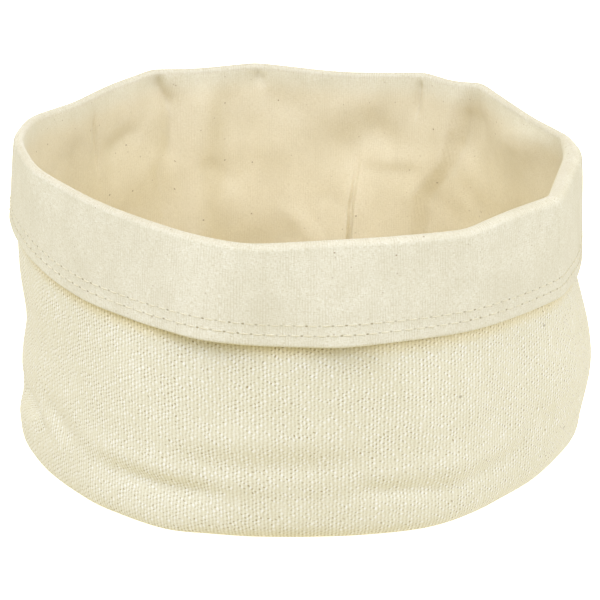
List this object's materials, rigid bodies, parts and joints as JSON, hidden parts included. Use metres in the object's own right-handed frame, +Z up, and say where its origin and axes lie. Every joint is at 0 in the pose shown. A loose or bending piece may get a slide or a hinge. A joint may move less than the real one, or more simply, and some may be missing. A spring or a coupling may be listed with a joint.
{
  "type": "bread bag",
  "caption": "Round cloth bread bag that stands open, of coarse canvas with a finer cotton lining, its top turned down as a stitched cuff.",
  "frame": {"origin": "middle of the underside, on the surface that the bag stands on", "axes": "+Z up, -Y towards the front of the bag as pictured, +X to the right of that view"},
  "size_m": [0.2034, 0.2072, 0.1151],
  "materials": {
    "canvas": "natural coarse cotton canvas",
    "lining": "unbleached plain cotton with small flecks"
  },
  "bodies": {
    "root": {"canvas_wall": "canvas", "canvas_base": "canvas", "lining_wall": "lining", "lining_base": "lining"}
  },
  "joints": []
}
